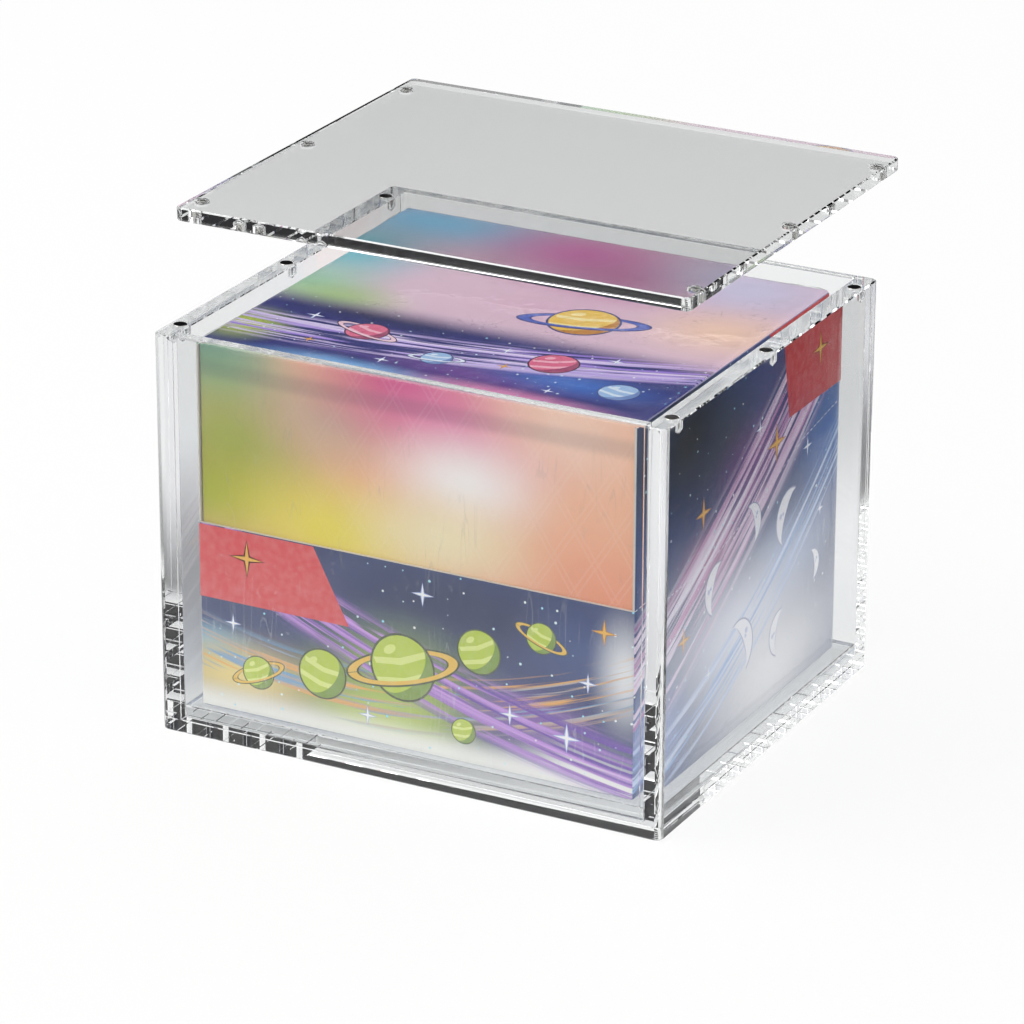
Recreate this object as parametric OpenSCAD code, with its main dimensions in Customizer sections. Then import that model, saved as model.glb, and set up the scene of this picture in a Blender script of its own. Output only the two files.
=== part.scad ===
// Clear acrylic display case with a lift-off magnetic lid, holding one sealed
// carton of trading cards. Millimetres, +Z up, +X to the right, the front faces
// -Y, and the origin is the middle of the face that the case stands on.

/* [Card carton] */
// Width of the carton, left to right
carton_w = 171; // [120:1:260]
// Depth of the carton, front to back
carton_d = 150; // [100:1:220]
// Height of the carton
carton_h = 137; // [90:1:200]
// Thickness of the carton board
board_t = 1; // [0.6:0.1:2]
// Height of the low front panel, from the carton's underside
front_panel_h = 70; // [50:1:80]
// How far the front flap tucks down behind the low front panel
flap_tuck = 25; // [10:1:40]
// Clearance between the tucked flap and the carton's sides
flap_gap = 0.5; // [0.2:0.1:1.5]
// Rounding of the carton's upright folds
fold_r = 1.2; // [1:0.1:2]
// Bevel left by the carton's flat folds
fold_bevel = 0.5; // [0.2:0.1:0.6]
// Thickness of the clear film shrunk round the carton
film_t = 0.2; // [0.1:0.05:0.4]

/* [Room round the carton] */
// Gap between the wrapped carton and the left and right walls
side_gap = 5.3; // [1:0.1:15]
// Gap between the wrapped carton and the front wall
front_gap = 2.5; // [1:0.1:15]
// Gap between the wrapped carton and the back wall
back_gap = 7.1; // [1:0.1:15]
// Gap between the wrapped carton and the closed lid
head_gap = 2.6; // [1:0.1:20]

/* [Acrylic plates] */
// Thickness of the left and right walls, which hold the magnets
side_t = 8; // [7:0.5:14]
// Thickness of the front and back walls
end_t = 5; // [3:0.5:10]
// Thickness of the base panel
base_t = 5; // [3:0.5:10]
// Thickness of the inner floor that the carton stands on
floor_t = 5; // [3:0.5:10]
// Clearance round the inner floor
floor_gap = 0.1; // [0.05:0.05:0.5]
// Thickness of the lid
lid_t = 5; // [5:0.5:10]
// Radius of the polished upright corners
corner_r = 2.5; // [1.5:0.1:4]
// Polished bevel along the outer flat edges
edge_bevel = 0.5; // [0.2:0.1:0.8]
// Fine bevel along the edges that lie inside the case
inner_bevel = 0.3; // [0.1:0.1:0.5]

/* [Magnets] */
// Diameter of each disc magnet
magnet_d = 5; // [3:0.1:5]
// Height of the magnets in the rim
rim_magnet_h = 4; // [2:0.5:8]
// Height of the magnets in the lid
lid_magnet_h = 3; // [1.5:0.1:3]
// Radial clearance between a magnet and its hole
seat_clearance = 0.05; // [0.02:0.01:0.1]
// Distance from the case's front or back face to the nearest magnet's centre
magnet_end = 12; // [8:0.5:30]
// Broken edge round each magnet's ends
magnet_bevel = 0.2; // [0.1:0.05:0.4]
// Point angle of the drill that cuts the holes
drill_point = 118; // [110:1:140]

/* [Lid as shown] */
// Height of the lid's underside above the rim
lid_lift = 36; // [1:1:80]
// How far back the lid is carried as it is lifted
lid_back = 16; // [0:1:40]

/* [Hidden] */
$fn = 48;

// The case is sized from the carton outwards.
wrapped_w = carton_w + 2 * film_t;
wrapped_d = carton_d + 2 * film_t;
wrapped_h = carton_h + 2 * film_t;
room_w = wrapped_w + 2 * side_gap;
room_d = wrapped_d + front_gap + back_gap;
case_w = room_w + 2 * side_t;
case_d = room_d + 2 * end_t;
floor_z = base_t + floor_t;
rim_z = floor_z + wrapped_h + head_gap;

// The magnets stand in the middle of the side walls, in three pairs.
left = -1;
right = 1;
front = -1;
middle = 0;
back = 1;
magnet_x = case_w / 2 - side_t / 2;
magnet_y = case_d / 2 - magnet_end;
hole_r = magnet_d / 2 + seat_clearance;
hole_tip = hole_r / tan(drill_point / 2);

// The carton stands on the film, and its top panel starts at lid_panel_z.
carton_y = (front_gap - back_gap) / 2;
carton_front_y = carton_y - carton_d / 2;
carton_z = floor_z + film_t;
lid_panel_z = carton_z + carton_h - board_t;

// An even film grows a 45 degree bevel by this share of its thickness.
film_bevel = fold_bevel + film_t * (2 - sqrt(2));

// How far a cutter runs past a flat face, and past a bevelled one.
over = 1;
lip = 0.1;

acrylic = [0.88, 0.91, 0.93, 0.35];
plated_steel = [0.55, 0.56, 0.58];
printed_board = [0.25, 0.42, 0.72];
printed_lid = [0.86, 0.72, 0.55];
clear_film = [0.95, 0.97, 1, 0.2];

// A square bar on edge, which cuts a 45 degree bevel along an edge on X.
module bevel_bar(length, bevel) {
    side = bevel * sqrt(2);
    rotate([45, 0, 0])
        cube([length, side, side], center = true);
}

// Bevel bars along the four edges of a w by d rectangle, run on past its corners.
module bevel_ring(w, d, bevel, run_on) {
    for (s = [-1, 1]) {
        translate([0, s * d / 2, 0])
            bevel_bar(w + 2 * run_on, bevel);
        translate([s * w / 2, 0, 0])
            rotate([0, 0, 90])
                bevel_bar(d + 2 * run_on, bevel);
    }
}

// The waste outside a rounded, bevelled upright corner, from the corner's own centre.
module corner_waste(h, r, bevel) {
    difference() {
        translate([0, 0, -lip])
            cube([r + over, r + over, h + 2 * lip]);
        rotate_extrude()
            polygon([
                [0, -2 * lip],
                [r - bevel - 2 * lip, -2 * lip],
                [r, bevel],
                [r, h - bevel],
                [r - bevel - 2 * lip, h + 2 * lip],
                [0, h + 2 * lip],
            ]);
    }
}

// A block with rounded upright corners and bevelled top and bottom edges.
module polished_block(w, d, h, r, bevel) {
    difference() {
        translate([-w / 2, -d / 2, 0])
            cube([w, d, h]);
        bevel_ring(w, d, bevel, over);
        translate([0, 0, h])
            bevel_ring(w, d, bevel, over);
        for (turn = [0, 1]) {
            rotate([0, 0, 180 * turn]) {
                translate([w / 2 - r, d / 2 - r, 0])
                    corner_waste(h, r, bevel);
                translate([-w / 2 + r, d / 2 - r, 0])
                    rotate([0, 0, 90])
                        corner_waste(h, r, bevel);
            }
        }
    }
}

// The stretch of its children between two heights.
module between(z0, z1) {
    intersection() {
        children();
        translate([-case_w, -case_d, z0])
            cube([2 * case_w, 2 * case_d, z1 - z0]);
    }
}

// A blind hole drilled down from z = 0, with the drill's cone at its end.
module drilled_hole(depth) {
    rotate_extrude()
        polygon([
            [0, over],
            [hole_r, over],
            [hole_r, -depth],
            [0, -depth - hole_tip],
        ]);
}

// The six magnets' places, on whatever plane they are used.
module at_magnets(sides) {
    for (side = sides) {
        for (place = [front, middle, back]) {
            translate([side * magnet_x, place * magnet_y, 0])
                children();
        }
    }
}

// A plated disc magnet standing on z = 0, with its rims broken.
module disc_magnet(h) {
    r = magnet_d / 2;
    color(plated_steel)
        rotate_extrude()
            polygon([
                [0, 0],
                [r - magnet_bevel, 0],
                [r, magnet_bevel],
                [r, h - magnet_bevel],
                [r - magnet_bevel, h],
                [0, h],
            ]);
}

// The outside of the whole glued case, polished as one block.
module case_block() {
    polished_block(case_w, case_d, rim_z, corner_r, edge_bevel);
}

module base_panel() {
    color(acrylic)
        between(-over, base_t)
            case_block();
}

// The inner floor, which lies on the base between the four walls.
module floor_panel() {
    floor_w = room_w - 2 * floor_gap;
    floor_d = room_d - 2 * floor_gap;
    color(acrylic)
        difference() {
            translate([-floor_w / 2, -floor_d / 2, base_t])
                cube([floor_w, floor_d, floor_t]);
            for (z = [base_t, floor_z]) {
                translate([0, 0, z])
                    bevel_ring(floor_w, floor_d, inner_bevel, over);
            }
        }
}

// A full-depth wall that stands on the base and carries three magnet holes.
module side_wall(side) {
    color(acrylic)
        difference() {
            between(base_t, rim_z + over)
                intersection() {
                    case_block();
                    translate([side * (room_w + side_t + over) / 2, 0, rim_z / 2])
                        cube([side_t + over, case_d + 2 * over, rim_z + 2 * over], center = true);
                }
            translate([side * room_w / 2, 0, rim_z])
                rotate([0, 0, 90])
                    bevel_bar(room_d, inner_bevel);
            translate([0, 0, rim_z])
                at_magnets([side])
                    drilled_hole(rim_magnet_h);
        }
}

// A wall that fits between the two side walls.
module end_wall(end) {
    color(acrylic)
        difference() {
            between(base_t, rim_z + over)
                intersection() {
                    case_block();
                    translate([0, end * (room_d + end_t + over) / 2, rim_z / 2])
                        cube([room_w, end_t + over, rim_z + 2 * over], center = true);
                }
            translate([0, end * room_d / 2, rim_z])
                bevel_bar(room_w, inner_bevel);
        }
}

module front_wall() end_wall(front);
module back_wall() end_wall(back);
module left_wall() side_wall(left);
module right_wall() side_wall(right);

module rim_magnet(side, place) {
    translate([side * magnet_x, place * magnet_y, rim_z - rim_magnet_h])
        disc_magnet(rim_magnet_h);
}

// Puts what is drawn on the lid's underside where the lid is held.
module at_lid() {
    translate([0, lid_back, rim_z + lid_lift])
        children();
}

module lid_panel() {
    color(acrylic)
        at_lid()
            difference() {
                polished_block(case_w, case_d, lid_t, corner_r, edge_bevel);
                at_magnets([left, right])
                    mirror([0, 0, 1])
                        drilled_hole(lid_magnet_h);
            }
}

module lid_magnet(side, place) {
    at_lid()
        translate([side * magnet_x, place * magnet_y, 0])
            disc_magnet(lid_magnet_h);
}

// The outside of the closed carton.
module carton_block() {
    translate([0, carton_y, carton_z])
        polished_block(carton_w, carton_d, carton_h, fold_r, fold_bevel);
}

// The carton's floor, back, sides and low front panel.
module display_carton() {
    inner_w = carton_w - 2 * board_t;
    inner_d = carton_d - 2 * board_t;
    color(printed_board)
        difference() {
            between(carton_z - over, lid_panel_z)
                carton_block();
            translate([-inner_w / 2, carton_y - inner_d / 2, carton_z + board_t])
                cube([inner_w, inner_d, carton_h]);
            translate([-inner_w / 2, carton_front_y - over, carton_z + front_panel_h])
                cube([inner_w, board_t + 2 * over, carton_h]);
        }
}

// The carton's top panel, folded down in front and tucked behind the low panel.
module carton_lid() {
    flap_w = carton_w - 2 * board_t - 2 * flap_gap;
    flap_z = carton_z + front_panel_h - flap_tuck;
    color(printed_lid)
        union() {
            intersection() {
                between(lid_panel_z, carton_z + carton_h + over)
                    carton_block();
                translate([-carton_w, carton_front_y + board_t, 0])
                    cube([2 * carton_w, 2 * carton_d, 2 * rim_z]);
            }
            translate([-flap_w / 2, carton_front_y + board_t, flap_z])
                cube([flap_w, board_t, lid_panel_z - flap_z + board_t / 2]);
        }
}

// Clear film drawn tight round the closed carton.
module shrink_wrap() {
    color(clear_film)
        difference() {
            translate([0, carton_y, floor_z])
                polished_block(wrapped_w, wrapped_d, wrapped_h, fold_r + film_t, film_bevel);
            carton_block();
        }
}

base_panel();
floor_panel();
front_wall();
back_wall();
left_wall();
right_wall();
rim_magnet(left, front);  // rim_magnet_left_front
rim_magnet(left, middle);  // rim_magnet_left_middle
rim_magnet(left, back);  // rim_magnet_left_back
rim_magnet(right, front);  // rim_magnet_right_front
rim_magnet(right, middle);  // rim_magnet_right_middle
rim_magnet(right, back);  // rim_magnet_right_back
lid_panel();
lid_magnet(left, front);  // lid_magnet_left_front
lid_magnet(left, middle);  // lid_magnet_left_middle
lid_magnet(left, back);  // lid_magnet_left_back
lid_magnet(right, front);  // lid_magnet_right_front
lid_magnet(right, middle);  // lid_magnet_right_middle
lid_magnet(right, back);  // lid_magnet_right_back
display_carton();
carton_lid();
shrink_wrap();
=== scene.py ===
# %% [markdown]
# # A clear display case with a sealed carton inside
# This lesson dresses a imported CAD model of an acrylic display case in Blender.
# The model brings every rigid piece at its true size and place, so nothing is
# moved here. What is left is what the eye sees: clear sheet with polished
# edges, small plated magnets, a printed carton and the thin film round it.
# %% Load the fixed frame
import math

import bmesh
import bpy
from mathutils import Matrix, Vector, noise


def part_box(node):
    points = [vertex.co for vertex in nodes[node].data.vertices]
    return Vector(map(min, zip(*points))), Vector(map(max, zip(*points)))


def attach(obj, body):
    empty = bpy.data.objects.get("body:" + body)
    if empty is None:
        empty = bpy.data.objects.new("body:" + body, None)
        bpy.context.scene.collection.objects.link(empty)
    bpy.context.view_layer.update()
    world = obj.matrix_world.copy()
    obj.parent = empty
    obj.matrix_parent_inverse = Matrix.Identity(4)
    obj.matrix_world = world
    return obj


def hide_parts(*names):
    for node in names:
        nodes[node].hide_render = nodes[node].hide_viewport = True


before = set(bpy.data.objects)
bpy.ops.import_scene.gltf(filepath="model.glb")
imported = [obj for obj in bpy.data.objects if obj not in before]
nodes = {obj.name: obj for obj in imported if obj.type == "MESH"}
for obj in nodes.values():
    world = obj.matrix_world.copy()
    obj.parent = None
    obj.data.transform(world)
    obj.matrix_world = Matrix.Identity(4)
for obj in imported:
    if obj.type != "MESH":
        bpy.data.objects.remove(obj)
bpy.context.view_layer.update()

mm = 0.001
scene = bpy.context.scene

# %% [markdown]
# ## Camera
# The photograph was taken with a long lens from the front right, a little above
# the case. The corners and the magnets in the picture give the angles, the
# distance and the focal length, so the camera is set by numbers instead of by eye.
# %% Set up the camera
AZIMUTH, ELEVATION, ROLL = map(math.radians, (27.832, 22.068, 0.174))
AIM = Vector((-3.24, 0, 71.16)) * mm
DISTANCE = 1849.3 * mm
FOCAL_PIXELS = 5188.8
IMAGE_PIXELS = 1024
SENSOR = 36

toward_eye = Vector((
    math.sin(AZIMUTH) * math.cos(ELEVATION),
    -math.cos(AZIMUTH) * math.cos(ELEVATION),
    math.sin(ELEVATION),
))
level_right = Vector((math.cos(AZIMUTH), math.sin(AZIMUTH), 0))
level_up = toward_eye.cross(level_right)
tilt_right = level_right * math.cos(ROLL) + level_up * math.sin(ROLL)
tilt_up = level_up * math.cos(ROLL) - level_right * math.sin(ROLL)

lens = bpy.data.cameras.new("camera")
lens.sensor_width = SENSOR
lens.lens = FOCAL_PIXELS / IMAGE_PIXELS * SENSOR
lens.clip_start, lens.clip_end = 0.05, 20
camera = bpy.data.objects.new("camera", lens)
turn = Matrix((tilt_right, tilt_up, toward_eye)).transposed().to_4x4()
camera.matrix_world = Matrix.Translation(AIM + toward_eye * DISTANCE) @ turn
scene.collection.objects.link(camera)
scene.camera = camera
scene.view_settings.view_transform = "Standard"
print("camera lens", round(lens.lens, 1), "mm at", [round(v, 3) for v in camera.location])

# %% [markdown]
# ## Writing shader nodes as short lines
# A node tree drawn by hand in the editor is easy to read but long in code. This
# small bench adds a node, plugs in numbers or other sockets in order and hands
# back the result, so that a formula reads almost as it would on paper.
# %% A bench for shader nodes
class Bench:
    """Adds nodes to one node tree, a short call for each."""

    def __init__(self, tree):
        self.tree = tree

    def plug(self, socket, value):
        if isinstance(value, bpy.types.NodeSocket):
            self.tree.links.new(value, socket)
        elif value is not None:
            socket.default_value = value

    def put(self, kind, *values, **settings):
        node = self.tree.nodes.new("ShaderNode" + kind)
        for key, value in settings.items():
            setattr(node, key, value)
        for socket, value in zip(node.inputs, values):
            self.plug(socket, value)
        return node

    def math(self, operation, a, b=None, c=None):
        return self.put("Math", a, b, c, operation=operation).outputs[0]

    def times(self, a, b):
        return self.math("MULTIPLY", a, b)

    def times_plus(self, a, b, c):
        return self.math("MULTIPLY_ADD", a, b, c)

    def plus(self, a, b):
        return self.math("ADD", a, b)

    def minus(self, a, b):
        return self.math("SUBTRACT", a, b)

    def over(self, a, b):
        return self.math("DIVIDE", a, b)

    def larger(self, a, b):
        return self.math("MAXIMUM", a, b)

    def is_above(self, a, b):
        return self.math("GREATER_THAN", a, b)

    def is_below(self, a, b):
        return self.math("LESS_THAN", a, b)

    def unsigned(self, a):
        return self.math("ABSOLUTE", a)

    def mix(self, share, a, b):
        node = self.put("Mix", data_type="RGBA")
        for socket, value in zip((node.inputs[0], node.inputs[6], node.inputs[7]), (share, a, b)):
            self.plug(socket, value)
        return node.outputs[2]

    def ramp(self, value, low, high, to_low=0.0, to_high=1.0):
        """Eases a value from one range to another."""
        node = self.put("MapRange", value, low, high, to_low, to_high, interpolation_type="SMOOTHSTEP")
        return node.outputs[0]

    def noise(self, place, scale, detail=2.0, rough=0.5):
        node = self.put("TexNoise")
        for name, value in (("Vector", place), ("Scale", scale), ("Detail", detail), ("Roughness", rough)):
            self.plug(node.inputs[name], value)
        return node.outputs["Fac"]

    def vector(self, x, y, z):
        return self.put("CombineXYZ", x, y, z).outputs[0]

    def parts(self, vector):
        return self.put("SeparateXYZ", vector).outputs

    def bump(self, strength, distance, height):
        node = self.put("Bump")
        for name, value in (("Strength", strength), ("Distance", distance), ("Height", height)):
            self.plug(node.inputs[name], value)
        return node.outputs[0]


def new_group(name, takes, gives):
    """Makes a node group from two lists of (socket name, kind) and returns it with its bench."""
    tree = bpy.data.node_groups.new(name, "ShaderNodeTree")
    for way, sockets in (("INPUT", takes), ("OUTPUT", gives)):
        for label, kind in sockets:
            tree.interface.new_socket(label, in_out=way, socket_type="NodeSocket" + kind)
    bench = Bench(tree)
    entry = tree.nodes.new("NodeGroupInput").outputs
    leave = tree.nodes.new("NodeGroupOutput").inputs
    return tree, bench, entry, leave


def floats(*names):
    return [(name, "Float") for name in names]


def give(bench, leave, **values):
    """Plugs a group's results into its output sockets."""
    for label, value in values.items():
        bench.plug(leave[label], value)


def place_group(bench, tree, **values):
    """Places a group in a material, its inputs named with _ for each space."""
    node = bench.tree.nodes.new("ShaderNodeGroup")
    node.node_tree = tree
    for label, value in values.items():
        bench.plug(node.inputs[label.replace("_", " ")], value)
    return node.outputs


def new_material(name, **plain):
    """A material with its Principled shader, whose plain sockets are set by name."""
    material = bpy.data.materials.new(name)
    material.use_nodes = True
    shader = material.node_tree.nodes["Principled BSDF"]
    for label, value in plain.items():
        shader.inputs[label.replace("_", " ")].default_value = value
    return material, Bench(material.node_tree), shader


def dress(piece, material):
    piece.data.materials.clear()
    piece.data.materials.append(material)


def grey(value):
    return (value, value, value, 1)


print("the bench is ready")

# %% [markdown]
# ## Stage
# Clear plastic has no colour of its own. What it shows is the room, bent and
# mirrored, so the room matters as much as the material. The picture was taken on
# a white table in a dark room, and its background was then cleared to white. So
# here the camera, and what is seen straight through the sheet, meets plain white,
# while every mirror image shows the table fade to dark behind the case and a dark
# wall beyond it. Light Path tells the two apart by counting the mirror bounces.
# %% White table and dark wall
def flat_card(name, corners):
    mesh = bpy.data.meshes.new(name)
    mesh.from_pydata(corners, [], [range(len(corners))])
    card = bpy.data.objects.new(name, mesh)
    scene.collection.objects.link(card)
    return card


def mirror_image(bench, ray):
    """1 for a ray that was mirrored on its way from the camera and met nothing matt."""
    mirrored = bench.is_above(ray["Glossy Depth"], 0.5)
    return bench.times(mirrored, bench.is_below(ray["Diffuse Depth"], 0.5))


TABLE_HALF, TABLE_DROP = 3.0, -0.0002
WALL_LEFT, WALL_RIGHT, WALL_BEHIND, WALL_LOW, WALL_HIGH = -1.8, 0.9, 1.6, 0.10, 1.6
SHADE_CENTRE = (-0.125, 0.06, 0)
CASE_HALF_WIDTH, CASE_HALF_DEPTH = 0.099, 0.085
ROOM_BLACK = (0.02, 0.02, 0.022, 1)
CLEARED_TO_WHITE = 0.84
table = flat_card("table", [
    (x * TABLE_HALF, y * TABLE_HALF, TABLE_DROP) for x, y in ((-1, -1), (1, -1), (1, 1), (-1, 1))])
paper, bench, shader = new_material("table_paper", Roughness=0.9, Specular_IOR_Level=0.0)
ray = bench.put("LightPath").outputs
mirrored = mirror_image(bench, ray)
spot = bench.put("NewGeometry").outputs["Position"]
spot_x, spot_y, _ = bench.parts(spot)

# a soft patch of shade left of the case and behind it, but not under it
distance = bench.put("VectorMath", spot, SHADE_CENTRE, operation="DISTANCE").outputs["Value"]
past_side = bench.ramp(bench.unsigned(spot_x), CASE_HALF_WIDTH, 0.108)
past_back = bench.ramp(spot_y, CASE_HALF_DEPTH, 0.105)
shade = bench.times(bench.ramp(distance, 0.03, 0.17, 1.0, 0.0), bench.larger(past_side, past_back))
tone = bench.mix(bench.times(shade, mirrored), grey(0.9), grey(0.22))

# the table's far parts and its front fall off into the dark room
far_part = bench.larger(bench.ramp(spot_x, 0.15, 0.22), bench.ramp(spot_y, 0.38, 0.50))
front_part = bench.ramp(spot_y, -0.30, -0.10, 0.65, 0.0)
fade = bench.times(bench.larger(far_part, front_part), mirrored)
bench.plug(shader.inputs["Base Color"], bench.mix(fade, tone, ROOM_BLACK))

# plain white for what is seen straight through the sheet, grey in the painted patch of shade,
# and nearly plain white for the camera, whose last sixth is lit paper that keeps the object's shadow
painted_shade_behind_sheet = bench.times(shade, bench.minus(1.0, ray["Is Camera Ray"]))
white = bench.put("Emission", bench.mix(painted_shade_behind_sheet, grey(1), grey(0.35)), 1.0).outputs[0]
through = bench.larger(ray["Is Glossy Ray"], ray["Is Transmission Ray"])
straight = bench.put("Math", through, mirrored, operation="SUBTRACT", use_clamp=True).outputs[0]
share = bench.larger(straight, bench.times(ray["Is Camera Ray"], CLEARED_TO_WHITE))
out = paper.node_tree.nodes["Material Output"]
bench.plug(out.inputs[0], bench.put("MixShader", share, shader.outputs[0], white).outputs[0])
table.data.materials.append(paper)

wall = flat_card("dark_wall", [
    (WALL_LEFT, WALL_BEHIND, WALL_LOW), (WALL_RIGHT, WALL_BEHIND, WALL_LOW),
    (WALL_RIGHT, WALL_BEHIND, WALL_HIGH), (WALL_LEFT, WALL_BEHIND, WALL_HIGH)])
felt, bench, shader = new_material(
    "dark_felt", Base_Color=(0.012, 0.012, 0.014, 1), Roughness=0.9, Specular_IOR_Level=0.0)
mirrored = mirror_image(bench, bench.put("LightPath").outputs)
clear = bench.put("BsdfTransparent").outputs[0]
out = felt.node_tree.nodes["Material Output"]
bench.plug(out.inputs[0], bench.put("MixShader", mirrored, clear, shader.outputs[0]).outputs[0])
wall.data.materials.append(felt)
wall.visible_camera = wall.visible_diffuse = wall.visible_shadow = False
print("stage:", table.name, "and", wall.name)

# %% [markdown]
# ## Light
# The world is one even white dome, a light tent. It gives the plain soft light
# that lets a printed colour render as it was mixed, with a slightly brighter
# panel overhead on the left so that the faces of the carton differ a little.
# %% Light tent
tent = bpy.data.worlds.new("light_tent")
tent.use_nodes = True
scene.world = tent
bench = Bench(tent.node_tree)
ray = bench.put("LightPath").outputs
beyond_sheet = bench.larger(ray["Is Glossy Ray"], ray["Is Transmission Ray"])
seen = bench.larger(ray["Is Camera Ray"], beyond_sheet)
bench.plug(tent.node_tree.nodes["Background"].inputs[0], bench.mix(seen, grey(0.9), grey(1)))

LAMP_SPOT, LAMP_SIZE, LAMP_WATTS = (-1.1, -0.7, 1.5), (1.4, 1.0), 10
panel = bpy.data.lights.new("soft_panel", "AREA")
panel.shape, panel.energy = "RECTANGLE", LAMP_WATTS
panel.size, panel.size_y = LAMP_SIZE
lamp = bpy.data.objects.new("soft_panel", panel)
lamp.location = LAMP_SPOT
lamp.rotation_euler = (AIM - lamp.location).to_track_quat("-Z", "Y").to_euler()
scene.collection.objects.link(lamp)

# light in clear sheet is mirrored dozens of times before it leaves by an edge
BOUNCES = 64
scene.cycles.blur_glossy = 0.0
scene.cycles.max_bounces = BOUNCES
scene.cycles.transmission_bounces = BOUNCES
scene.cycles.glossy_bounces = BOUNCES
scene.cycles.transparent_max_bounces = 2 * BOUNCES
print("world and", lamp.name)

# %% [markdown]
# ## Shared finishes
# Some marks turn up on more than one material. Fine scratches are on the sheet,
# the magnets and the film, so they are one group: long thin lines of noise that
# run in two directions, gathered in patches, as cloths and fingers leave them.
# %% Group: fine scratches
scratches, bench, entry, leave = new_group(
    "fine_scratches", floats("Size", "Amount"), floats("Height", "Mask"))
place = bench.put("TexCoord").outputs["Object"]
lines = []
for angle, seed in ((0.5, 0.0), (-0.9, 3.7)):
    spun = bench.put("VectorRotate", place, (seed, seed, seed), (0.3, 0.5, 1.0), angle).outputs[0]
    x, y, z = bench.parts(spun)
    long_way = bench.vector(
        bench.times(x, entry["Size"]),
        bench.times(y, bench.times(entry["Size"], 0.02)),
        bench.times(z, bench.times(entry["Size"], 0.6)))
    lines.append(bench.ramp(bench.noise(long_way, 1.0, 1.0), 0.70, 0.76))
both = bench.larger(*lines)
patch = bench.ramp(bench.noise(place, 22.0), 0.45, 0.7)
mask = bench.times(bench.times(both, patch), entry["Amount"])
give(bench, leave, Mask=mask, Height=bench.times(mask, -1.0))
print("group", scratches.name)

# %% [markdown]
# ## Acrylic sheet
# The case is cut from clear cast acrylic, an index of 1.49 and almost no tint.
# Where two plates meet there is a hair of air, and that hair is what turns the
# edges into mirrors. A model whose plates share one face has no such air, so
# each plate is shrunk by three hundredths of a millimetre with a modifier, which
# leaves the CAD mesh itself as it was. The saw and the polishing wheel also take
# the sharpness off every edge. A fine bevel stands for that, and its bright and
# dark lines repeat in the plate's mirrors like the stripes of a kaleidoscope. On
# the side walls it is finer, for there it has to fit in beside the rim's bevel.
#
# The walls are solvent welded to the base and to each other. There the sheet is
# melted into one piece and light passes straight on. The two faces of a weld are
# told by where they lie and which way they face, and their alpha is 0.
# %% Clear sheet
HAIR_GAP = 0.03 * mm
EASED_EDGE, SIDE_WALL_EASED_EDGE = 0.25 * mm, 0.12 * mm
WELD_LEVEL, WALL_INSIDE_X, WALL_INSIDE_Y, WELD_REACH = 5, 91, 80, 0.1
acrylic, bench, shader = new_material(
    "clear_acrylic", Base_Color=(0.925, 0.935, 0.935, 1), IOR=1.49, Transmission_Weight=1.0)
coord = bench.put("TexCoord").outputs
marks = place_group(bench, scratches, Size=900.0, Amount=1.0)
ripple = bench.noise(coord["Object"], 60.0, 1.0)
height = bench.times_plus(marks["Height"], 0.12, bench.times(ripple, 0.5))
bench.plug(shader.inputs["Normal"], bench.bump(0.12, 0.02 * mm, height))
bench.plug(shader.inputs["Roughness"], bench.times(marks["Mask"], 0.06))

# the two sides of each weld, found by place in millimetres and by the way they face
across, along, up = (bench.unsigned(bench.times(v, 1 / mm)) for v in bench.parts(coord["Object"]))
facing_x, _, facing_z = (bench.unsigned(v) for v in bench.parts(coord["Normal"]))
past_x = bench.is_above(across, WALL_INSIDE_X - WELD_REACH)
past_y = bench.is_above(along, WALL_INSIDE_Y - WELD_REACH)
on_level = bench.math("COMPARE", up, WELD_LEVEL, WELD_REACH)
on_side = bench.math("COMPARE", across, WALL_INSIDE_X, WELD_REACH)
at_base = bench.times(bench.times(on_level, bench.is_above(facing_z, 0.9)), bench.larger(past_x, past_y))
at_side = bench.times(bench.times(on_side, bench.is_above(facing_x, 0.9)), past_y)
bench.plug(shader.inputs["Alpha"], bench.minus(1.0, bench.larger(at_base, at_side)))

FACET_GAP, FLAT_WITHIN, SHARP_FROM = 0.001 * mm, math.radians(0.5), math.radians(60)
SIDE_WALLS = ["left_wall", "right_wall"]
PLATES = ["base_panel", "floor_panel", "front_wall", "back_wall", *SIDE_WALLS, "lid_panel"]
for name in PLATES:
    plate = nodes[name]
    dress(plate, acrylic)
    join = plate.modifiers.new("join_facets", "WELD")
    join.merge_threshold = FACET_GAP
    flatten = plate.modifiers.new("flat_faces", "DECIMATE")
    flatten.decimate_type, flatten.angle_limit = "DISSOLVE", FLAT_WITHIN
    ease = plate.modifiers.new("eased_edges", "BEVEL")
    ease.width = SIDE_WALL_EASED_EDGE if name in SIDE_WALLS else EASED_EDGE
    ease.segments, ease.use_clamp_overlap = 1, False
    ease.limit_method, ease.angle_limit = "ANGLE", SHARP_FROM
    shrink = plate.modifiers.new("hair_gap", "DISPLACE")
    shrink.strength, shrink.mid_level = -HAIR_GAP, 0
print("clear sheet on", len(PLATES), "plates")

# %% [markdown]
# ## Magnets
# Each magnet is a sintered disc with bright nickel plate. Nickel is a little
# warm and never a perfect mirror: it has a faint cloud over it, and scratches
# from the press that pushed it into its hole.
# %% Nickel plate
nickel, bench, shader = new_material("nickel_plate", Metallic=1.0)
marks = place_group(bench, scratches, Size=2600.0, Amount=1.0)
place = bench.put("TexCoord").outputs["Object"]
cloud = bench.noise(place, 900.0, 3.0)
plate_colour = bench.mix(cloud, (0.50, 0.49, 0.47, 1), (0.62, 0.61, 0.58, 1))
bench.plug(shader.inputs["Base Color"], plate_colour)
gloss = bench.ramp(cloud, 0.3, 0.8, 0.05, 0.12)
bench.plug(shader.inputs["Roughness"], bench.times_plus(marks["Mask"], 0.2, gloss))
bench.plug(shader.inputs["Normal"], bench.bump(0.2, 0.02 * mm, marks["Height"]))
magnets = [piece for name, piece in nodes.items() if "magnet" in name]
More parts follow.
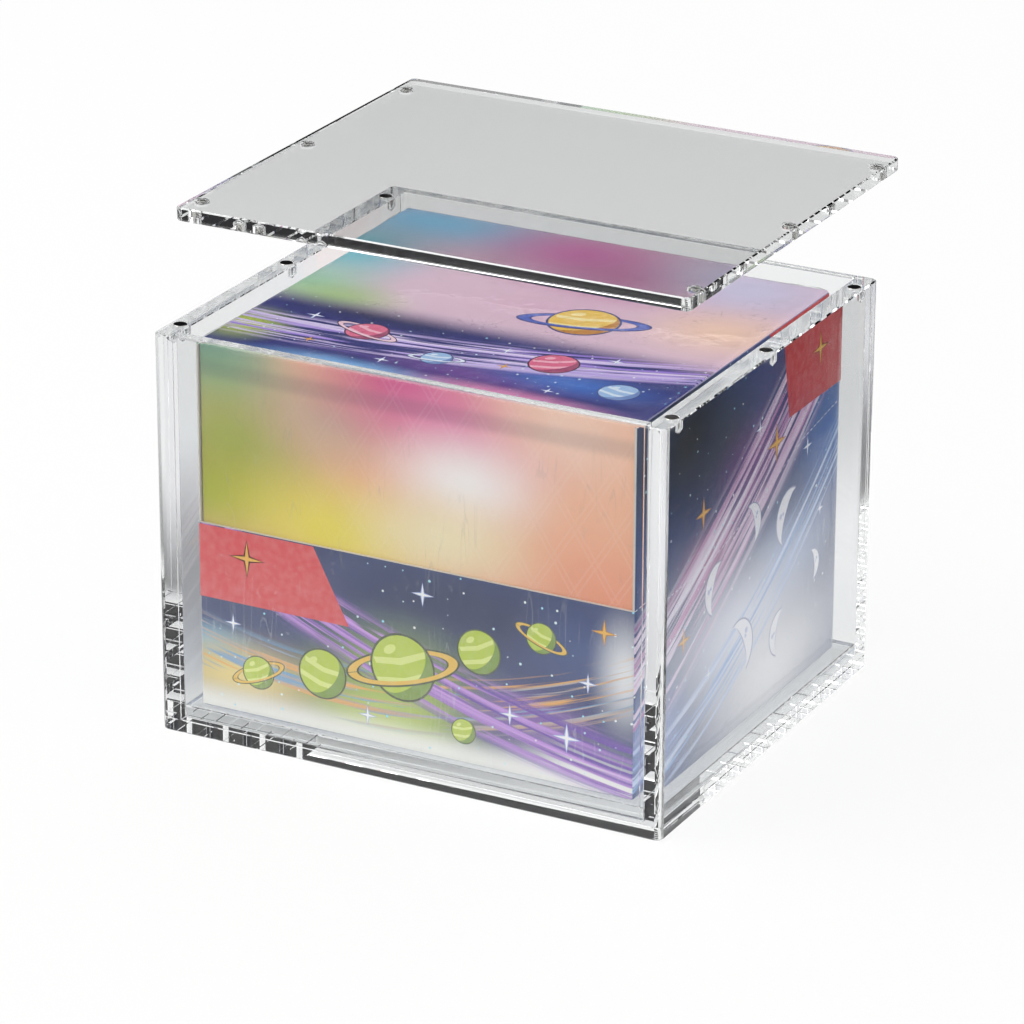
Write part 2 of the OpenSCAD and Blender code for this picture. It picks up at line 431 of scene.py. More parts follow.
for piece in magnets:
    dress(piece, nickel)
print("nickel plate on", len(magnets), "magnets")

# %% [markdown]
# ## Where the print lies
# The carton is printed all over, and its art is laid out in millimetres on each
# face. This group tells a material which face it is on, from the face's normal,
# and how far across and up that face it is.
# %% Group: place on the carton
low, high = (Vector(corner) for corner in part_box("display_carton"))
_, lid_high = (Vector(corner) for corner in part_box("carton_lid"))
CARTON_W = (high.x - low.x) / mm
CARTON_D = (high.y - low.y) / mm
CARTON_H = (lid_high.z - low.z) / mm
CARTON_FRONT = low.y / mm
CARTON_FOOT = low.z / mm
CARTON_MID_Y = (low.y + high.y) / 2 / mm
print("carton", round(CARTON_W, 2), round(CARTON_D, 2), round(CARTON_H, 2))

# a fold at 45 degrees counts as the face next to it, never as a side
LEAST_SIDE_NORMAL, LEAST_TOP_NORMAL = 0.71, 0.70
spread, bench, _, leave = new_group("carton_place", [], floats(
    "Across", "Up", "Front", "Right", "Left", "Back", "Top") + [("Place", "Vector")])
coord = bench.put("TexCoord").outputs
x, y, z = (bench.times(v, 1 / mm) for v in bench.parts(coord["Object"]))
nx, ny, nz = bench.parts(coord["Normal"])
y = bench.minus(y, CARTON_MID_Y)
z = bench.minus(z, CARTON_FOOT)
side = bench.is_above(bench.unsigned(nx), LEAST_SIDE_NORMAL)
top = bench.is_above(nz, LEAST_TOP_NORMAL)
upright = bench.minus(1.0, bench.is_above(bench.unsigned(nz), LEAST_TOP_NORMAL))
end = bench.times(bench.minus(1.0, side), upright)
right_face = bench.times(side, bench.is_above(nx, 0.0))
left_face = bench.minus(side, right_face)
back_face = bench.times(end, bench.is_above(ny, 0.0))
front_face = bench.minus(end, back_face)
across = bench.times(x, bench.minus(1.0, side))
across = bench.times_plus(back_face, bench.times(x, -2.0), across)
across = bench.times_plus(y, bench.minus(right_face, left_face), across)
up = bench.times_plus(top, bench.minus(y, z), z)
give(bench, leave, Across=across, Up=up, Front=front_face, Right=right_face, Left=left_face,
     Back=back_face, Top=top, Place=bench.vector(x, y, z))
print("group", spread.name)

# %% [markdown]
# ## Ink effects
# The print is a soft sweep of colour with ribbons of light and a scatter of
# small dots. A soft spot is an ellipse of one ink that fades at its rim; many of
# them, laid over each other, make the sweep. Ribbons are noise pulled out thin
# along a curve. Confetti is a cell pattern with most of its cells left out.
# %% Groups: soft spot, light ribbons, confetti
COLOUR_OUT = [("Color", "Color")]
soft_spot, bench, entry, leave = new_group("soft_spot", [("Color", "Color"), ("Ink", "Color")] + floats(
    "Across", "Up", "Centre Across", "Centre Up", "Reach Across", "Reach Up", "Strength"), COLOUR_OUT)
away = [
    bench.over(bench.minus(entry[way], entry["Centre " + way]), entry["Reach " + way])
    for way in ("Across", "Up")]
distance = bench.put("VectorMath", bench.vector(away[0], away[1], 0.0), operation="LENGTH").outputs["Value"]
weight = bench.times(bench.ramp(distance, 0.0, 1.0, 1.0, 0.0), entry["Strength"])
give(bench, leave, Color=bench.mix(weight, entry["Color"], entry["Ink"]))

light_ribbons, bench, entry, leave = new_group("light_ribbons", floats(
    "Across", "Up", "Start Up", "Slope", "Bend", "Width", "Fineness", "Share", "Seed"),
    floats("Mask", "Hue"))
bow = bench.times(bench.times(entry["Across"], entry["Across"]), entry["Bend"])
line = bench.plus(bench.times_plus(entry["Across"], entry["Slope"], entry["Start Up"]), bow)
across_fan = bench.over(bench.minus(entry["Up"], line), entry["Width"])
window = bench.ramp(bench.unsigned(across_fan), 0.55, 1.0, 1.0, 0.0)
lane = bench.times(across_fan, entry["Fineness"])
along_lane = bench.vector(bench.times(entry["Across"], 0.012), lane, entry["Seed"])
thread = bench.noise(along_lane, 1.0, 3.0, 0.6)
edge = bench.minus(0.62, bench.times(entry["Share"], 0.3))
streak = bench.ramp(thread, edge, bench.plus(edge, 0.08))
along_hue = bench.vector(bench.times(entry["Across"], 0.006), bench.times(lane, 0.8), 9.0)
hue = bench.noise(along_hue, 1.0, 2.0)
give(bench, leave, Mask=bench.times(window, streak), Hue=bench.ramp(hue, 0.35, 0.65))

confetti, bench, entry, leave = new_group("confetti", floats(
    "Across", "Up", "Spacing", "Radius", "Share", "Seed"), floats("Mask") + COLOUR_OUT)
spot = bench.vector(
    bench.plus(bench.over(entry["Across"], entry["Spacing"]), entry["Seed"]),
    bench.over(entry["Up"], entry["Spacing"]), 0.0)
cell = bench.put("TexVoronoi", spot, feature="F1", voronoi_dimensions="2D")
bench.plug(cell.inputs["Scale"], 1.0)
picked, bigger, tint = bench.put("SeparateColor", cell.outputs["Color"]).outputs
dot_radius = bench.over(entry["Radius"], entry["Spacing"])
dot_radius = bench.times(dot_radius, bench.times_plus(bigger, 0.8, 0.4))
inside = bench.ramp(bench.over(cell.outputs["Distance"], dot_radius), 0.8, 1.0, 1.0, 0.0)
give(bench, leave, Mask=bench.times(inside, bench.is_below(picked, entry["Share"])),
     Color=bench.mix(tint, (0.95, 0.95, 0.9, 1), (0.25, 0.75, 0.95, 1)))
print("groups", soft_spot.name, light_ribbons.name, confetti.name)

# %% [markdown]
# ## Painting one face
# A face's art is a base ink, then a list of soft spots. Each row of a list is an
# ink, a centre, a reach and a strength, in millimetres on the face, so the
# layout can be read and changed like a drawing.
# %% Spots and helpers for the print
def ink(code):
    """Turns a screen colour such as "3a7bd5" into the linear colour that shaders use."""
    parts = [int(code[i:i + 2], 16) / 255 for i in (0, 2, 4)]
    return tuple(p / 12.92 if p <= 0.04045 else ((p + 0.055) / 1.055) ** 2.4 for p in parts) + (1.0,)


def on_face(where):
    return {"Across": where["Across"], "Up": where["Up"]}


def paint_spots(bench, where, base, rows):
    """A base ink with one soft spot over it for each row."""
    colour = ink(base)
    for code, across, up, reach_across, reach_up, strength in rows:
        colour = place_group(
            bench, soft_spot, Color=colour, Ink=ink(code), **on_face(where), Centre_Across=float(across),
            Centre_Up=float(up), Reach_Across=float(reach_across), Reach_Up=float(reach_up),
            Strength=strength)["Color"]
    return colour


def paint_ribbons(bench, where, colour, inks, start, slope, bend, width, fineness, share, seed):
    """A fan of fine ribbons of two inks along the curve start + slope * across + bend * across squared."""
    fan = place_group(
        bench, light_ribbons, **on_face(where), Start_Up=float(start), Slope=slope, Bend=bend,
        Width=float(width), Fineness=float(fineness), Share=share, Seed=float(seed))
    return bench.mix(fan["Mask"], colour, bench.mix(fan["Hue"], *map(ink, inks)))


def paint_confetti(bench, where, colour, spacing, radius, share, seed):
    dots = place_group(
        bench, confetti, **on_face(where), Spacing=float(spacing), Radius=radius, Share=share,
        Seed=float(seed))
    return bench.mix(dots["Mask"], colour, dots["Color"])


def finish_board(bench, shader, where, colour):
    """Adds what every printed face has: faint clouds in the ink, board grain and a coated gloss."""
    grain = bench.noise(where["Place"], 1.6, 4.0, 0.65)
    cloud = bench.noise(where["Place"], 0.05, 2.0)
    toned = bench.mix(0.05, colour, bench.mix(cloud, grey(0), grey(1)))
    bench.plug(shader.inputs["Base Color"], toned)
    bench.plug(shader.inputs["Roughness"], bench.ramp(grain, 0.3, 0.7, 0.34, 0.42))
    bench.plug(shader.inputs["Normal"], bench.bump(0.12, 0.05 * mm, grain))


print("helpers ready, plain red is", [round(v, 2) for v in ink("ff0000")])

# %% [markdown]
# ### The carton's sheets
# The flap runs from olive through pink to peach round a pale glow. The top is
# pastel and ends in a band of night sky along its front. The low front panel and
# the sides carry the same night, paler toward the foot, with ribbons of light.
# %% Print on the top and the flap
# height and reach of the painted shade band on the flap
PAINTED_SHADE_UP, PAINTED_SHADE_REACH = 127.5, 5.0
LATTICE_PITCH, LATTICE_LEAN = 13, 33
NIGHT_FULL_BELOW, NIGHT_GONE_ABOVE = -28.0, -10.0
lid_print, bench, shader = new_material("printed_top_and_flap", Specular_IOR_Level=0.4)
where = place_group(bench, spread)
flap = paint_spots(bench, where, "f4b896", [
    ("83b498", -78, 128, 46, 30, 1.0), ("5c9688", -84, 138, 40, 16, 0.9), ("a9b04a", -74, 104, 60, 40, 1.0),
    ("acb41e", -82, 82, 66, 30, 1.0), ("f0de50", -32, 76, 62, 30, 1.0), ("ccaa98", -32, 118, 44, 24, 0.9),
    ("d23c80", -4, 136, 52, 32, 1.0), ("ea80b4", 18, 122, 56, 28, 0.8), ("f8d2be", 58, 128, 44, 30, 0.9),
    ("fbf4f2", 20, 104, 44, 26, 1.0), ("f8ecc4", 12, 82, 50, 24, 0.9), ("f09a78", 76, 70, 46, 34, 0.9)])

# a diamond lattice so faint that it shows only where the flap is pale
lanes = []
for lean in (LATTICE_LEAN, -LATTICE_LEAN):
    turned = bench.put("VectorRotate", where["Place"], (0, 0, 0), (0, 1, 0), math.radians(lean)).outputs[0]
    lane = bench.math("PINGPONG", bench.parts(turned)[0], LATTICE_PITCH / 2)
    lanes.append(bench.ramp(bench.unsigned(bench.minus(lane, 1.0)), 0.2, 0.45, 1.0, 0.0))
faint = bench.times(bench.larger(*lanes), bench.ramp(where["Across"], -70.0, 20.0, 0.01, 0.06))
flap = bench.mix(faint, flap, grey(1))

# painted shade: a soft dark band across the flap below its top fold
from_painted_shade = bench.unsigned(bench.minus(where["Up"], PAINTED_SHADE_UP))
shadow = bench.ramp(from_painted_shade, 1.0, PAINTED_SHADE_REACH, 0.24, 0.0)
flap = bench.mix(shadow, flap, (0.05, 0.06, 0.1, 1))

cover = paint_spots(bench, where, "e6c6d8", [
    ("94d4fa", -70, 66, 80, 34, 1.0), ("70cbd8", -84, 30, 44, 40, 0.9), ("e684c2", -4, 58, 54, 40, 1.0),
    ("cf7fb0", 22, 44, 40, 30, 0.8), ("d6d2ee", 60, 62, 50, 40, 0.95), ("fdd4be", 72, 16, 44, 34, 1.0),
    ("9fd6b4", -82, -4, 40, 34, 0.9), ("e3b8cf", 6, 10, 50, 26, 0.8), ("a9cc7a", -64, -14, 36, 22, 0.8)])
band = bench.ramp(where["Up"], NIGHT_FULL_BELOW, NIGHT_GONE_ABOVE, 1.0, 0.0)
night = paint_spots(bench, where, "2a2f7c", [
    ("1f2358", -40, -24, 60, 14, 0.9), ("6a3f96", 14, -60, 60, 12, 1.0), ("3b6fc8", 50, -52, 46, 16, 1.0),
    ("b7c94a", -80, -52, 24, 22, 1.0), ("d982b4", 30, -72, 60, 9, 1.0), ("6fa8e0", -30, -72, 50, 9, 1.0)])
night = paint_ribbons(bench, where, night, ("f3e6ff", "9c7be0"), -44, 0.16, 0.0012, 15, 5.0, 0.55, 1)
night = paint_confetti(bench, where, night, 5.2, 0.45, 0.35, 4)
cover = bench.mix(band, cover, night)
colour = bench.mix(where["Top"], flap, cover)
side_edge = bench.plus(where["Right"], where["Left"])
colour = bench.mix(side_edge, colour, ink("8c86ac"))
finish_board(bench, shader, where, colour)
dress(nodes["carton_lid"], lid_print)
print("print on", nodes["carton_lid"].name)

# %% Print on the carton's walls
LOW_FRONT_TOP = 69.8
wall_print, bench, shader = new_material("printed_walls", Specular_IOR_Level=0.4)
where = place_group(bench, spread)
low_front = paint_spots(bench, where, "2c3f74", [
    ("222f5e", 20, 58, 70, 20, 0.9), ("35508c", 64, 52, 30, 26, 0.8), ("5fb0dd", -84, 26, 30, 10, 0.9),
    ("eed78a", -70, 14, 60, 22, 1.0), ("a8c24a", -6, 18, 52, 40, 1.0), ("c9d878", -14, 8, 40, 18, 0.9),
    ("8a5fb4", 44, 22, 40, 16, 0.9), ("f4f2f6", 66, 4, 40, 18, 1.0), ("ffffff", 82, 46, 16, 30, 0.8),
    ("fbfaf6", 0, -6, 120, 16, 1.0)])
low_front = bench.mix(bench.ramp(where["Up"], 2.0, 13.0, 0.92, 0.0), low_front, ink("f8f7f2"))
low_front = paint_ribbons(bench, where, low_front, ("4fa9df", "f2b24f"), 18, 0.10, 0.0022, 13, 4.0, 0.4, 2)
low_front = paint_ribbons(bench, where, low_front, ("d9a6ef", "6a3fae"), 30, -0.34, 0.0012, 14, 5.5, 0.6, 5)
low_front = paint_confetti(bench, where, low_front, 6.0, 0.5, 0.4, 1)

# the left side mirrors the right, so both are laid out from the front to the back
turn_left = bench.minus(1.0, bench.times(where["Left"], 2.0))
front_to_back = {"Across": bench.times(where["Across"], turn_left), "Up": where["Up"]}
side_art = paint_spots(bench, front_to_back, "27457f", [
    ("0d171d", -46, 122, 58, 42, 1.0), ("1a2f48", -20, 112, 40, 26, 0.9), ("1f62b4", 66, 88, 38, 46, 1.0),
    ("7a4a8e", 6, 96, 44, 26, 0.9), ("b86f9a", -30, 74, 34, 18, 0.8), ("9db7e2", 36, 52, 42, 24, 0.7),
    ("dde0ee", -8, 40, 78, 36, 1.0), ("8fa6de", -66, 20, 30, 26, 0.8), ("f4f3f6", 20, 12, 84, 38, 1.0)])
for inks, *curve in ((("f6f0ff", "c77ab8"), 84, 0.62, 0.001, 26, 7.0, 0.6, 3),
                     (("dfe9ff", "6aa0e0"), 34, 0.5, 0.002, 14, 5.0, 0.45, 8)):
    side_art = paint_ribbons(bench, front_to_back, side_art, inks, *curve)
side_art = paint_confetti(bench, where, side_art, 7.0, 0.5, 0.4, 6)
colour = bench.mix(where["Front"], side_art, low_front)

# bare board: the walls' cut edges and their unprinted insides
above_panel = bench.times(where["Front"], bench.is_above(where["Up"], LOW_FRONT_TOP))
place_x = bench.parts(where["Place"])[0]
inside_left = bench.times(where["Right"], bench.is_below(place_x, 0.0))
inside_right = bench.times(where["Left"], bench.is_above(place_x, 0.0))
bare_board = bench.larger(bench.larger(above_panel, where["Top"]), bench.plus(inside_left, inside_right))
finish_board(bench, shader, where, bench.mix(bare_board, colour, ink("d6cfc6")))
dress(nodes["display_carton"], wall_print)
print("print on", nodes["display_carton"].name)

# %% [markdown]
# ## Printed motifs
# Planets, moons and sparkles have crisp outlines, which a soft shader pattern
# can't give, so they are cut as very thin sheets and laid on the board in layers,
# each a hundredth of a millimetre over the last: outline first, then the body,
# its shade, its bands and its light. All of them are one mesh, and each sheet
# carries its ink as a colour attribute that a single material reads.
# %% Outlines of the motifs
def place_points(points, x, y, tilt=0.0):
    """Turns points about their origin and moves them to x, y."""
    c, s = math.cos(math.radians(tilt)), math.sin(math.radians(tilt))
    return [(x + a * c - b * s, y + a * s + b * c) for a, b in points]


def arc(r, flat=1.0, start=0.0, sweep=360.0, count=36):
    """Points along an ellipse that is r wide and r * flat high."""
    steps = count + (sweep < 360)
    angles = [math.radians(start + sweep * k / count) for k in range(steps)]
    return [(r * math.cos(angle), r * flat * math.sin(angle)) for angle in angles]


def lune(r, thick):
    """A crescent: half a circle out, and a flatter half ellipse back."""
    back = [(x * (1 - thick), y) for x, y in arc(r, start=90, sweep=-180, count=18)[1:-1]]
    return arc(r, start=-90, sweep=180, count=18) + back


def half_ring(r, flat, wide, start):
    """Half of a flat ring, seen from the side."""
    inner = arc(r - wide, flat * 0.92, start=start + 180, sweep=-180, count=24)
    return arc(r, flat, start=start, sweep=180, count=24) + inner


def sparkle(r, waist):
    """A four-point sparkle with hollow sides."""
    points = []
    for k in range(8):
        reach = r if k % 2 == 0 else r * waist
        angle = math.radians(45 * k)
        points.append((reach * math.cos(angle), reach * math.sin(angle)))
    return points


def slanted_plate(wide, high, slant):
    """A label with one slanted end."""
    return [(0, 0), (wide - slant, 0), (wide, high), (0, high)]


print("outlines ready, a sparkle has", len(sparkle(1, 0.2)), "points")

# %% A stack of thin printed sheets
FACES = {
    "front": ((0, CARTON_FRONT, CARTON_FOOT), (1, 0, 0), (0, 0, 1)),
    "right": ((CARTON_W / 2, CARTON_MID_Y, CARTON_FOOT), (0, 1, 0), (0, 0, 1)),
    "left": ((-CARTON_W / 2, CARTON_MID_Y, CARTON_FOOT), (0, -1, 0), (0, 0, 1)),
    "back": ((0, CARTON_FRONT + CARTON_D, CARTON_FOOT), (-1, 0, 0), (0, 0, 1)),
    "top": ((0, CARTON_MID_Y, CARTON_FOOT + CARTON_H), (1, 0, 0), (0, 1, 0)),
}
LAYER, SUNK = 0.01, -0.02
print_sheets = []


def lay(face, code, points, layer):
    """Lays one sheet of one ink on a face, as a closed sheet that starts just under the board's skin."""
    print_sheets.append((face, ink(code), points, layer))


def planet(face, x, y, r, body, shade, light, line, ring=None, tilt=20):
    """A planet in flat inks, whose ring passes behind it and in front."""
    if ring:
        lay(face, line, place_points(half_ring(r * 1.95, 0.30, r * 0.44, 0), x, y, tilt), 1)
        lay(face, ring, place_points(half_ring(r * 1.88, 0.28, r * 0.30, 2), x, y, tilt), 2)
    lay(face, line, place_points(arc(r * 1.07), x, y), 3)
    lay(face, body, place_points(arc(r), x, y), 4)
    for level in (r * 0.42, r * -0.20):
        half = math.sqrt(r * r - level * level) * 0.97
        strip = [
            (-half, level), (0, level - r * 0.12), (half, level),
            (half * 0.96, level - r * 0.2), (0, level - r * 0.34), (-half * 0.96, level - r * 0.2)]
        lay(face, light, place_points(strip, x, y, tilt), 5)
    lay(face, shade, place_points(lune(r * 0.995, 0.42), x, y, -38), 6)
    lay(face, light, place_points(arc(r * 0.22, 0.6), x - r * 0.42, y + r * 0.5, 35), 6)
    if ring:
        lay(face, line, place_points(half_ring(r * 1.95, 0.30, r * 0.44, 180), x, y, tilt), 7)
        lay(face, ring, place_points(half_ring(r * 1.88, 0.28, r * 0.30, 182), x, y, tilt), 8)


def moon(face, x, y, r, body, shade, line, facing):
    """A pale crescent moon with two craters and a fine outline."""
    lay(face, line, place_points(lune(r * 1.06, 0.66), x, y, facing), 1)
    lay(face, body, place_points(lune(r, 0.6), x, y, facing), 2)
    for across, size in ((0.72, 0.10), (0.58, 0.07)):
        spot = place_points([(r * across, r * (0.9 * across - 0.5))], x, y, facing)[0]
        lay(face, shade, place_points(arc(r * size), *spot), 3)


def star(face, x, y, r, body, line):
    """A sparkle over a slightly larger one, which makes its outline."""
    lay(face, line, place_points(sparkle(r * 1.16, 0.24), x, y), 1)
    lay(face, body, place_points(sparkle(r, 0.17), x, y), 2)


# %% [markdown]
# ### Layout
# The front carries a row of lime planets that rises to the right, the right and
# left sides a flight of pale moons, and the top a large ringed planet over two
# small red ones and two blue. The back has three red planets. The red plates
# with one slanted end carry no more than a sparkle.
# %% Motifs on each face
LIME = ("bfd43c", "7f9e3a", "e4ee8a", "3c4a2a")
ROSE = ("e8688f", "a63a6a", "f8b4c8", "4a2048")
SKY = ("9fc4ee", "6a8cc8", "dcecfb", "3a4a86")
PALE = ("f3f3fa", "b4bbe0", "8a90b8")
GOLD = ("f4b93a", "b9741e")
WHITE = ("ffffff", "9ab0e8")
GOLD_RING, PINK_RING = "f0c24a", "f6d2de"
SIDES = (("right", 1), ("left", -1))
LIME_ROW = (
    (-62, 17, 6.0, 24, GOLD_RING), (-36, 22, 9.0, -14, None), (-4, 31, 12.0, 16, GOLD_RING),
    (26, 43, 8.0, 22, None), (50, 53, 5.5, -20, GOLD_RING), (20, 12, 4.5, 10, None))
for x, y, r, tilt, ring in LIME_ROW:
    planet("front", x, y, r, *LIME, ring=ring, tilt=tilt)
for x, y, r in ((4, 60, 4.0), (68, 40, 3.4), (-18, 10, 3.4), (60, 18, 5.0), (38, 22, 3.6), (-72, 34, 3.0)):
    star("front", x, y, r, *WHITE)
star("front", 74, 60, 4.4, *GOLD)
lay("front", "e0444a", place_points(slanted_plate(46, 27.4, -14), -85.2, 42), 1)
star("front", -66, 59.5, 6.2, *GOLD)

MOONS = (
    (-24, 60, 9.5, 160), (2, 74, 8.0, 20), (34, 66, 10.5, 150), (-6, 30, 11.0, 30),
    (28, 24, 8.5, 165), (54, 40, 6.0, 10))
for face, sign in SIDES:
    for x, y, r, facing in MOONS:
        moon(face, sign * x, y, r, *PALE, facing if sign > 0 else 180 - facing)
    for x, y, r in ((-36, 92, 5.4), (22, 98, 6.6), (-50, 50, 4.6)):
        star(face, sign * x, y, r, *GOLD)
    for x, y, r in ((8, 108, 3.0), (48, 88, 3.4), (-30, 30, 3.2), (60, 60, 2.6)):
        star(face, sign * x, y, r, *WHITE)
    lay(face, "c8282f", [(sign * a, b) for a, b in ((26, 136), (32, 104), (75, 104), (75, 136))], 1)
    star(face, sign * 57, 122, 6.0, *GOLD)

# the tear line that lets a shop open the carton: short dashes along a bent path
TEAR_PATH = [(-75, 70), (-30, 72), (8, 80), (44, 92), (75, 97)]
DASH_PITCH, DASH_LONG, DASH_WIDE = 3.0, 1.7, 0.3
for face, sign in SIDES:
    for (x0, y0), (x1, y1) in zip(TEAR_PATH, TEAR_PATH[1:]):
        span = math.hypot(x1 - x0, y1 - y0)
        slope = math.degrees(math.atan2(y1 - y0, x1 - x0))
        for k in range(int(span / DASH_PITCH)):
            share = k * DASH_PITCH / span
            dash = [(0, 0), (DASH_LONG, 0), (DASH_LONG, DASH_WIDE), (0, DASH_WIDE)]
            points = place_points(dash, x0 + (x1 - x0) * share, y0 + (y1 - y0) * share, slope)
            lay(face, "e9ecf6", [(sign * a, b) for a, b in points], 4)

planet("top", 24, 4, 12.5, "f0c445", "c9862c", "fae49a", "2f3a8a", ring="4a63c4", tilt=14)
planet("top", -38, -40, 7.5, *ROSE, ring=PINK_RING, tilt=-18)
planet("top", 34, -38, 8.5, *ROSE, tilt=24)
planet("top", -4, -52, 5.5, *SKY, ring="e8f0fc", tilt=10)
planet("top", 66, -52, 7.0, *SKY, tilt=-10)
for x, y, r in ((-62, -34, 3.2), (14, -34, 2.6), (52, -26, 3.0), (-20, -62, 2.8), (44, -62, 2.4)):
    star("top", x, y, r, *WHITE)
for x, y, r in ((20, -48, 2.6), (-52, -56, 2.4)):
    star("top", x, y, r, *GOLD)

ROSE_GROUP = ((-48, 96, 10, 20, PINK_RING), (8, 84, 15, -14, None), (52, 104, 8, 16, PINK_RING))
for x, y, r, tilt, ring in ROSE_GROUP:
    planet("back", x, y, r, *ROSE, ring=ring, tilt=tilt)
for x, y, r in ((-20, 112, 4), (30, 60, 4.6), (-60, 52, 5.2), (64, 70, 3.6)):
    star("back", x, y, r, *WHITE)
print(len(print_sheets), "sheets drawn")

# %% One mesh for all the sheets
sheet_mesh = bpy.data.meshes.new("printed_motifs")
work = bmesh.new()
inks = work.loops.layers.float_color.new("ink")
for face, colour, points, layer in print_sheets:
    origin, along, upward = (Vector(v) for v in FACES[face])
    outward = along.cross(upward)
    turns = sum(a[0] * b[1] - b[0] * a[1] for a, b in zip(points, points[1:] + points[:1]))
    if turns < 0:
        points = points[::-1]
    under, over = (
        [work.verts.new((origin + along * a + upward * b + outward * depth) * mm) for a, b in points]
        for depth in (SUNK, layer * LAYER))
    skins = [work.faces.new(over), work.faces.new(under[::-1])]
    for k in range(len(points)):
        n = (k + 1) % len(points)
        skins.append(work.faces.new((under[k], under[n], over[n], over[k])))
    for skin in skins:
        for loop in skin.loops:
            loop[inks] = colour
work.to_mesh(sheet_mesh)
work.free()
motifs = bpy.data.objects.new("printed_motifs", sheet_mesh)
scene.collection.objects.link(motifs)
motif_ink, bench, shader = new_material("motif_ink", Specular_IOR_Level=0.4)
drawn = bench.put("VertexColor", layer_name="ink").outputs["Color"]
where = place_group(bench, spread)
worn = bench.ramp(bench.noise(where["Place"], 0.35, 3.0), 0.3, 0.8, 0.0, 0.08)
finish_board(bench, shader, where, bench.mix(worn, drawn, grey(1)))
sheet_mesh.materials.append(motif_ink)
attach(motifs, "card_box")
print("printed motifs:", len(sheet_mesh.polygons), "faces")

# %% [markdown]
# ## Shrink film
# The carton is sealed in clear film, far thinner than anything else here. It has
# no body, only a skin that mirrors the room: strong at a glancing angle and weak
# head on. So the solid from the CAD model makes way for a closed skin just above
# the board, whose alpha follows Fresnel. Heat pulls the film tight over the edges
# and leaves puckers that fan out of the corners, ripples beside the upright folds
# and a welded seam down the back. These are real bends in the mesh, and only the
# finest crinkle is left to a bump.
# %% Film skin, cut into a fine grid
FILM_OUT, FILM_GRID = 0.14, 2.5
FOLD_ROUND, EDGE_STRIP = 1.2, 1.5
film_mesh = bpy.data.meshes.new("film_skin")
work = bmesh.new()
bmesh.ops.create_cube(work, size=1.0)
size = Vector((CARTON_W + 2 * FILM_OUT, CARTON_D + 2 * FILM_OUT, CARTON_H + 2 * FILM_OUT))
for corner in work.verts:
    corner.co = Vector(c * s for c, s in zip(corner.co, size))
bmesh.ops.bevel(work, geom=work.edges[:], offset=FOLD_ROUND, segments=3, profile=0.5, affect="EDGES")
for axis in range(3):
    flat_part = size[axis] - 2 * EDGE_STRIP
    steps = int(flat_part / FILM_GRID)
    for k in range(1, steps):
        cut, way = Vector(), Vector()
        cut[axis] = -size[axis] / 2 + EDGE_STRIP + k * flat_part / steps
        way[axis] = 1
        everything = work.verts[:] + work.edges[:] + work.faces[:]
        bmesh.ops.bisect_plane(work, geom=everything, plane_co=cut, plane_no=way)
print("film grid:", len(work.verts), "points")

# %% Puckers, ripples and the seam
PUCKER_REACH, PUCKER_HEIGHT, PUCKER_COUNT = 40.0, 0.6, 13
RIPPLE_REACH, RIPPLE_HEIGHT = 26.0, 0.5
SEAM_HEIGHT, SEAM_WIDTH = 0.3, 1.2


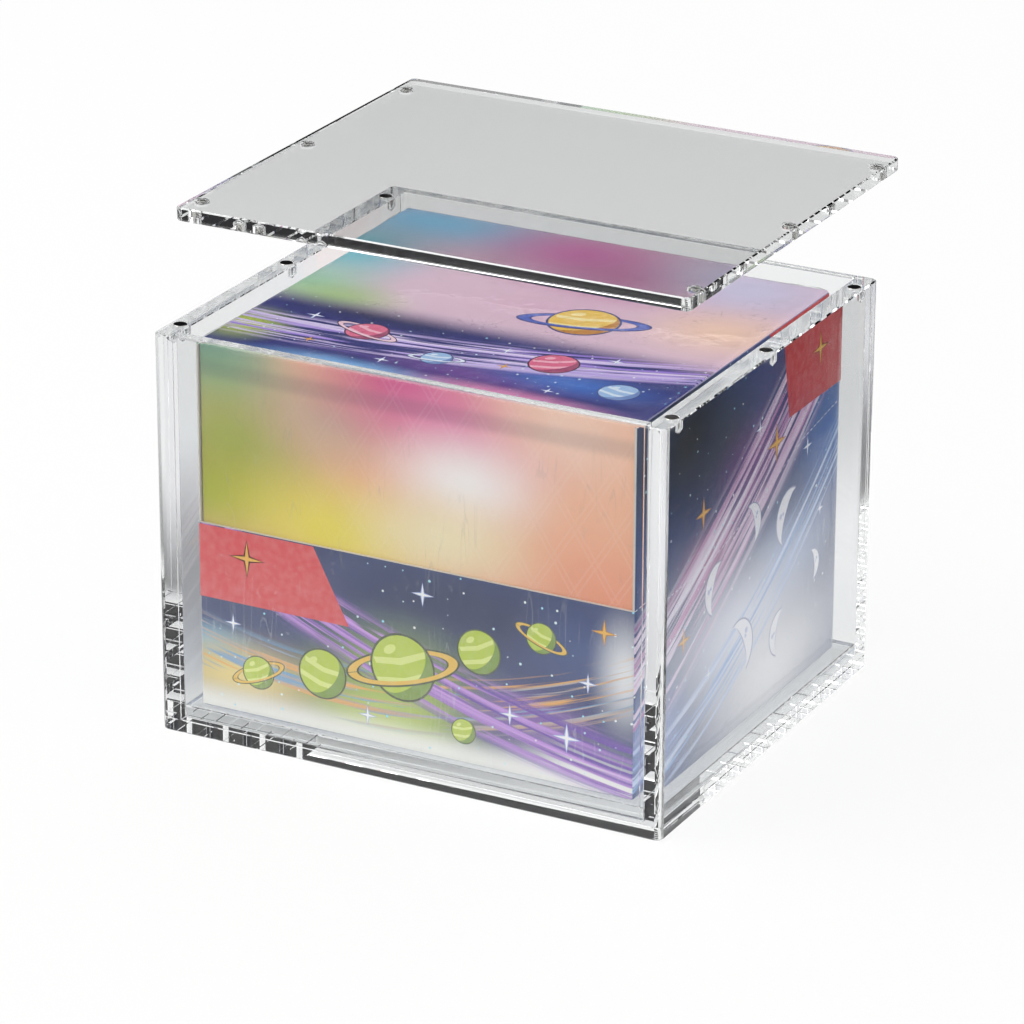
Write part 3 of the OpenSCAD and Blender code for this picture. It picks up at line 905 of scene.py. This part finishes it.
def pucker_height(point):
    """How far the film stands off the board at a point, in millimetres from the carton's middle."""
    side = max(range(3), key=lambda k: abs(point[k]) / size[k])
    if side == 2 and point[2] < 0:
        return 0.0
    rise = 0.0
    a, b = [k for k in range(3) if k != side]
    from_a = size[a] / 2 - abs(point[a])
    from_b = size[b] / 2 - abs(point[b])
    from_corner = math.hypot(from_a, from_b)
    seed = Vector((math.copysign(7, point[a]), math.copysign(11, point[b]), side * 5))
    if from_corner < PUCKER_REACH:
        angle = math.atan2(from_b, from_a)
        wobble = noise.noise(seed + Vector((angle * 3.1, from_corner * 0.02, 0)))
        fan = max(0.0, math.sin(angle * PUCKER_COUNT + wobble * 7))
        fade = min(1.0, from_corner / 8) * (1 - from_corner / PUCKER_REACH) ** 1.3
        rise += PUCKER_HEIGHT * fan ** 2 * fade
    for gap, along in ((from_a, point[b]), (from_b, point[a])):
        if gap < RIPPLE_REACH:
            wave = noise.noise(seed + Vector((along * 0.13, gap * 0.05, 3)))
            rise += RIPPLE_HEIGHT * max(0.0, wave) * (1 - gap / RIPPLE_REACH) * min(1.0, gap / 4)
    if side == 1 and point[1] > 0:
        rise += SEAM_HEIGHT * math.exp(-(point[0] / SEAM_WIDTH) ** 2)
    return rise


middle = Vector((0, CARTON_MID_Y, CARTON_FOOT + CARTON_H / 2))
work.normal_update()
tallest = 0.0
for corner in work.verts:
    lift = pucker_height(corner.co)
    tallest = max(tallest, lift)
    corner.co = (corner.co + corner.normal * lift + middle) * mm
for face in work.faces:
    face.smooth = True
work.to_mesh(film_mesh)
work.free()
film = bpy.data.objects.new("film_skin", film_mesh)
scene.collection.objects.link(film)
print("film stands off by up to", round(tallest + FILM_OUT, 2), "mm")

# %% Gloss of the film
clear_film, bench, shader = new_material("clear_film", Base_Color=(1, 1, 1, 1), Metallic=1.0)
marks = place_group(bench, scratches, Size=420.0, Amount=1.0)
where = place_group(bench, spread)
stretched = bench.put("VectorMath", where["Place"], (0.25, 0.25, 0.02), operation="MULTIPLY").outputs[0]
crinkle = bench.noise(stretched, 1.0, 1.0)
sweep = bench.noise(where["Place"], 0.035, 1.0)
height = bench.times_plus(marks["Height"], 0.25, bench.times(sweep, 1.5))
bent = bench.bump(0.3, 0.6 * mm, bench.times_plus(crinkle, 0.35, height))
bench.plug(shader.inputs["Normal"], bent)
bench.plug(shader.inputs["Roughness"], bench.times_plus(marks["Mask"], 0.2, 0.05))

# scratches and sharp creases are a little milky, and the back of the skin is left out
ridge = bench.ramp(bench.unsigned(bench.minus(crinkle, 0.5)), 0.004, 0.016, 1.0, 0.0)
crease = bench.times(ridge, bench.ramp(bench.noise(where["Place"], 0.04, 1.0), 0.50, 0.62))
fresnel = bench.put("Fresnel", 1.5)
bench.plug(fresnel.inputs["Normal"], bent)
haze = bench.times_plus(marks["Mask"], 0.12, bench.times_plus(crease, 0.16, fresnel.outputs[0]))
facing_out = bench.minus(1.0, bench.put("NewGeometry").outputs["Backfacing"])
bench.plug(shader.inputs["Alpha"], bench.times(haze, facing_out))
film_mesh.materials.append(clear_film)
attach(film, "card_box")
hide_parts("shrink_wrap")
print("film skin with", len(film_mesh.polygons), "faces")
